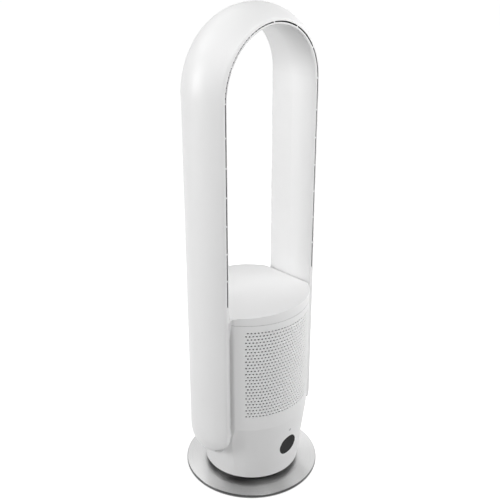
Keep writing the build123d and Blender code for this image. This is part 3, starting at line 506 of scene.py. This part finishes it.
def perforated_sheet():
    """Staggered rows of small holes over the whole panel."""
    sheet = Sheet()
    half = DRUM_RADIUS * DRUM_ARC_HALF
    first = EDGE_MARGIN - half
    step = (2 * half - 2 * EDGE_MARGIN) / COLUMN_STEPS
    lines = [first + step * index for index in range(COLUMN_STEPS + 1)]
    edges = [-half, *lines, half]
    last = len(edges) - 1
    for row in range(HOLE_ROWS):
        z = FIRST_ROW_Z + ROW_PITCH * row
        for index in range(last):
            left, right = edges[index], edges[index + 1]
            holed = [line for line in (index, index + 1) if 0 < line < last and (line + row) % 2]
            if not holed:
                add_plain(sheet, (left, right), (z - ROW_PITCH / 2, z + ROW_PITCH / 2))
            elif holed[0] == index:
                add_half_hole(sheet, left, right, z)
            else:
                add_half_hole(sheet, right, left, z)
    low = FIRST_ROW_Z - ROW_PITCH / 2
    high = low + ROW_PITCH * HOLE_ROWS
    add_band(sheet, edges, GRILLE_BOTTOM, low)
    add_band(sheet, edges, high, GRILLE_TOP)
    add_border(sheet, edges)
    return sheet


def grille(name, sheet, turn, white):
    """The sheet as a white piece, turned to its side of the drum."""
    mesh = bpy.data.meshes.new(name)
    mesh.from_pydata(sheet.points, [], sheet.faces)
    mesh.transform(Matrix.Rotation(turn, 4, "Z"))
    mesh.materials.append(white)
    piece = bpy.data.objects.new(name, mesh)
    bpy.context.scene.collection.objects.link(piece)
    return piece


def add_grilles(white):
    """The front and the rear panel, each in place of its coarser solid."""
    sheet = perforated_sheet()
    for side, turn in (("front", 0.0), ("rear", math.pi)):
        piece = grille(f"{side}_perforated_panel", sheet, turn, white)
        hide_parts(f"{side}_grille")
        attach(piece, "tower")


# ---- stage, lamps and camera -------------------------------------------------------------------------
def seen_rays(nodes, links, gloss=1.0):
    """1 for rays from the camera or through glass, and a given level for those that gloss sends on."""
    path = nodes.new("ShaderNodeLightPath").outputs
    glossy = math_node(nodes, links, "MULTIPLY", path["Is Glossy Ray"], gloss)
    seen = math_node(nodes, links, "MAXIMUM", path["Is Camera Ray"], glossy)
    return math_node(nodes, links, "MAXIMUM", seen, path["Is Transmission Ray"])


def add_floor():
    """Pale floor that looks white and keeps a soft shadow close round the base, with painted shadow too:
    its glow is cut under the base and lower close round it.
    """
    bpy.ops.mesh.primitive_plane_add(size=FLOOR_SIZE)
    floor = bpy.context.object
    floor.name = "floor"
    material, nodes, links = new_material("floor_paper")
    shader = nodes["Principled BSDF"]
    feed(links, shader.inputs["Base Color"], FLOOR_COLOUR)
    shader.inputs["Roughness"].default_value = FLOOR_ROUGHNESS
    shader.inputs["Specular IOR Level"].default_value = 0.0
    radius = vector_node(nodes, links, "LENGTH", own_place(nodes))["Value"]
    # painted shadow: no glow under the base, and less glow close round it
    under = spread(nodes, links, radius, 0.0, FLOOR_GLOW, PAINTED_CONTACT_SHADOW_RADII)
    around = spread(nodes, links, radius, 0.0, 1.0 - FLOOR_GLOW, PAINTED_SHADOW_RADII)
    level = math_node(nodes, links, "ADD", under, around)
    glow = nodes.new("ShaderNodeEmission")
    seen = seen_rays(nodes, links)
    links.new(math_node(nodes, links, "MULTIPLY", seen, level), glow.inputs["Strength"])
    total = nodes.new("ShaderNodeAddShader")
    links.new(shader.outputs["BSDF"], total.inputs[0])
    links.new(glow.outputs["Emission"], total.inputs[1])
    links.new(total.outputs["Shader"], nodes["Material Output"].inputs["Surface"])
    floor.data.materials.append(material)


def add_world():
    """A surround that is white to the camera, darkens to one side in gloss, and lights nothing matt."""
    world = bpy.data.worlds.new("studio")
    world.use_nodes = True
    nodes, links = world.node_tree.nodes, world.node_tree.links
    background = nodes["Background"]
    feed(links, background.inputs["Color"], (1.0, 1.0, 1.0))
    around = nodes.new("ShaderNodeTexCoord").outputs["Generated"]
    toward = vector_node(nodes, links, "DOT_PRODUCT", around, DARK_SIDE)["Value"]
    gloss = spread(nodes, links, toward, 1.0, DARK_SIDE_LEVEL, DARK_SIDE_ENDS)
    links.new(seen_rays(nodes, links, gloss), background.inputs["Strength"])
    bpy.context.scene.world = world


def add_lamps():
    """Square lamps round the fan, each turned to AIM."""
    for name, (azimuth, elevation, distance, side, power) in LAMPS.items():
        turn, lift = math.radians(azimuth), math.radians(elevation)
        out = Vector((math.sin(turn) * math.cos(lift), -math.cos(turn) * math.cos(lift), math.sin(lift)))
        light = bpy.data.lights.new(name, "AREA")
        light.shape = "SQUARE"
        light.size = side
        light.energy = power
        lamp = bpy.data.objects.new(name, light)
        lamp.location = AIM + out * distance
        lamp.rotation_mode = "QUATERNION"
        lamp.rotation_quaternion = (-out).to_track_quat("-Z", "Y")
        bpy.context.scene.collection.objects.link(lamp)


def add_camera():
    """The camera at the photograph's viewing angle."""
    data = bpy.data.cameras.new("photo_view")
    data.lens = LENS_MM
    data.sensor_width = SENSOR_MM
    data.shift_x = CAMERA_SHIFT_X
    data.clip_end = CAMERA_REACH
    camera = bpy.data.objects.new("photo_view", data)
    camera.location = CAMERA_PLACE
    camera.rotation_mode = "QUATERNION"
    roll = Quaternion((0, 0, 1), CAMERA_ROLL)
    camera.rotation_quaternion = CAMERA_FORWARD.to_track_quat("-Z", "Y") @ roll
    bpy.context.scene.collection.objects.link(camera)
    bpy.context.scene.camera = camera


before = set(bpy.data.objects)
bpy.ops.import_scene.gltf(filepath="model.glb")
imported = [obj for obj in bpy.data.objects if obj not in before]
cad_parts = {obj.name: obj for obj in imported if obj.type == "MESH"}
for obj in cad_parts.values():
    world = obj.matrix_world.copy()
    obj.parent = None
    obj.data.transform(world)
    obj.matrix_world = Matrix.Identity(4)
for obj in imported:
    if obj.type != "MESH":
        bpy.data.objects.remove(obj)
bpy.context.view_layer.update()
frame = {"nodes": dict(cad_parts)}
bpy.context.scene.view_settings.view_transform = "Standard"
add_camera()
add_world()
add_lamps()
add_floor()
panel_white = dress_nodes(frame["nodes"])
add_grilles(panel_white)
